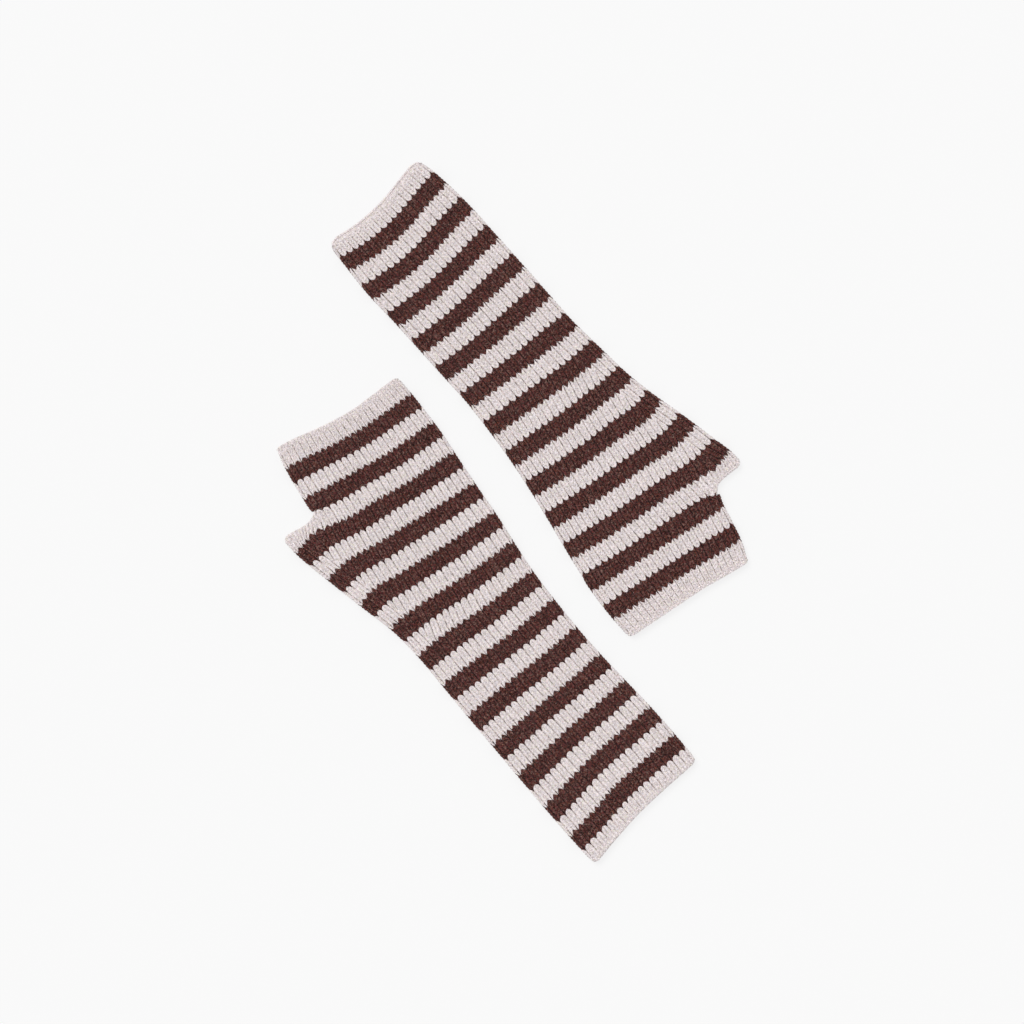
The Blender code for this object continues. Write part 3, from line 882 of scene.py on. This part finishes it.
def loose_fibres(name, cloth, materials, rng):
    """Fine fibres that stand off the wool of the front, each a narrow bent ribbon."""
    station = rng.uniform(WRIST + FIBRE_INSET, FINGERS - FIBRE_INSET, FIBRES)
    hand = station > THUMB
    rib = np.where(hand, rng.integers(THUMB_RIBS, RIBS, FIBRES), rng.integers(0, RIBS, FIBRES))
    share = rng.uniform(-FIBRE_ACROSS, FIBRE_ACROSS, FIBRES)
    place = np.full(FIBRES, FRONT), rib, rib + 1, share
    root = cloth.lay(place, station, STITCH_HEIGHT * FIBRE_ROOT, hand)
    angle = rng.uniform(0, 2 * math.pi, FIBRES)
    bend = angle + rng.normal(0, FIBRE_BEND, FIBRES)
    length = rng.uniform(*FIBRE_LENGTH, FIBRES)
    rise = rng.uniform(*FIBRE_RISE, FIBRES)

    def step(angle, up):
        return np.stack((np.cos(angle) * length / 2, np.sin(angle) * length / 2, up), axis=1) * MM

    middle = root + step(angle, rise)
    tip = middle + step(bend, rise * rng.uniform(*FIBRE_TIP_RISE, FIBRES))
    across = np.stack((-np.sin(angle), np.cos(angle), np.zeros(FIBRES)), axis=1) * FIBRE_HALF * MM
    points = np.stack([spot + side * across * width
                       for spot, width in zip((root, middle, tip), FIBRE_TAPER)
                       for side in (-1, 1)], axis=1)
    kept = cloth.rib_shares(station, hand)[np.arange(FIBRES), rib] >= FIBRE_RIB
    points = points[kept]
    quads = np.array(((0, 1, 3, 2), (2, 3, 5, 4)))
    quads = (quads[None] + np.arange(len(points))[:, None, None] * points.shape[1]).reshape(-1, 4)
    colours = np.repeat(stripe_of(station[kept]), 2)
    stray = np.repeat(rng.random(len(points)) < STRAY_PALE, 2)
    # Stray pale fibres take the oatmeal wool's darker copy, made as painted furrow shade, for its
    # greyer tone
    return make_mesh(name, points.reshape(-1, 3), quads, materials,
                     colours=np.where(stray, PAINTED_SHADE_COPY + LIGHT, colours))


def knit_warmer(warmer):
    """One warmer: its tube of cloth and all that is on it."""
    rng = np.random.default_rng(warmer.seed)
    cloth = Cloth(warmer, rng)
    name = warmer.name
    both = (oatmeal_wool, brown_wool)
    tube = tube_of_cloth(f"{name}_tube_of_cloth", cloth,
                         (*both, oatmeal_painted_furrow_shade, brown_painted_furrow_shade), rng)
    pieces = []
    for where, sides, rise, angles in (
            ("", (FRONT, NEAR_FOLD, FAR_FOLD), STITCH_HEIGHT, ROUND_ANGLES),
            ("back_", (BACK,), BACK_STITCH_HEIGHT, FLAT_ANGLES)):
        for colour, dye, material in ((LIGHT, "oatmeal", oatmeal_wool), (DARK, "brown", brown_wool)):
            knitted = stitches(f"{name}_{where}{dye}_stitches", cloth, sides, colour, rise, angles,
                               material, rng)
            pieces.append((knitted, f"{dye}_wool"))
    edge = knitted_edge(f"{name}_knitted_edges", cloth, oatmeal_wool, rng)
    fibres = loose_fibres(f"{name}_loose_fibres", cloth, (*both, oatmeal_painted_furrow_shade), rng)
    pieces += [(edge, "oatmeal_wool"), (fibres, "oatmeal_wool")]
    for piece, slot in [(tube, "oatmeal_wool"), *pieces]:
        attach(piece, "root")
    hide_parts(f"warmer_{name}")


def pale_table():
    """A pale table whose white surface glows: painted light that fills in the shadow the wool would
    cast on it, so that it takes hardly any.
    """
    material = bpy.data.materials.new("back_lit_white_acrylic")
    material.use_nodes = True
    shader = material.node_tree.nodes["Principled BSDF"]
    shader.inputs["Base Color"].default_value = linear("#7C7C7C")
    # The glow is painted light, not a lamp: it lights the table evenly and washes out the wool's
    # shadow on it
    shader.inputs["Emission Color"].default_value = (1.0, 1.0, 1.0, 1.0)
    shader.inputs["Emission Strength"].default_value = TABLE_GLOW
    shader.inputs["Roughness"].default_value = 0.8
    shader.inputs["Specular IOR Level"].default_value = 0.1
    corners = np.array(((-1, -1, 0), (1, -1, 0), (1, 1, 0), (-1, 1, 0))) * TABLE_HALF
    table = make_mesh("table", corners, np.array([(0, 1, 2, 3)]), [material])


def soft_light():
    """Even light from a pale room, with one large softbox above and to the upper left."""
    world = bpy.data.worlds.new("pale_room")
    world.use_nodes = True
    room = world.node_tree.nodes["Background"]
    room.inputs["Color"].default_value = (1.0, 1.0, 1.0, 1.0)
    room.inputs["Strength"].default_value = ROOM_LIGHT
    bpy.context.scene.world = world
    lamp = bpy.data.lights.new("softbox", "SUN")
    lamp.angle = math.radians(SOFTBOX_ANGLE)
    lamp.energy = SOFTBOX_POWER
    softbox = bpy.data.objects.new("softbox", lamp)
    softbox.rotation_euler = (math.radians(SOFTBOX_TILT), math.radians(SOFTBOX_TILT), 0)
    bpy.context.collection.objects.link(softbox)


def camera_above():
    """A camera that looks straight down and takes in just the photograph's frame."""
    lens = bpy.data.cameras.new("camera")
    lens.lens = LENS_MM
    lens.sensor_width = SENSOR_MM
    lens.clip_start = 0.01
    lens.clip_end = 100
    camera = bpy.data.objects.new("camera", lens)
    camera.location = (*PHOTO_CENTRE, PHOTO_WIDTH * LENS_MM / SENSOR_MM + PHOTO_HEIGHT)
    bpy.context.collection.objects.link(camera)
    bpy.context.scene.camera = camera


bpy.context.scene.view_settings.view_transform = "Standard"
camera_above()
soft_light()
pale_table()
for warmer in WARMERS:
    knit_warmer(warmer)
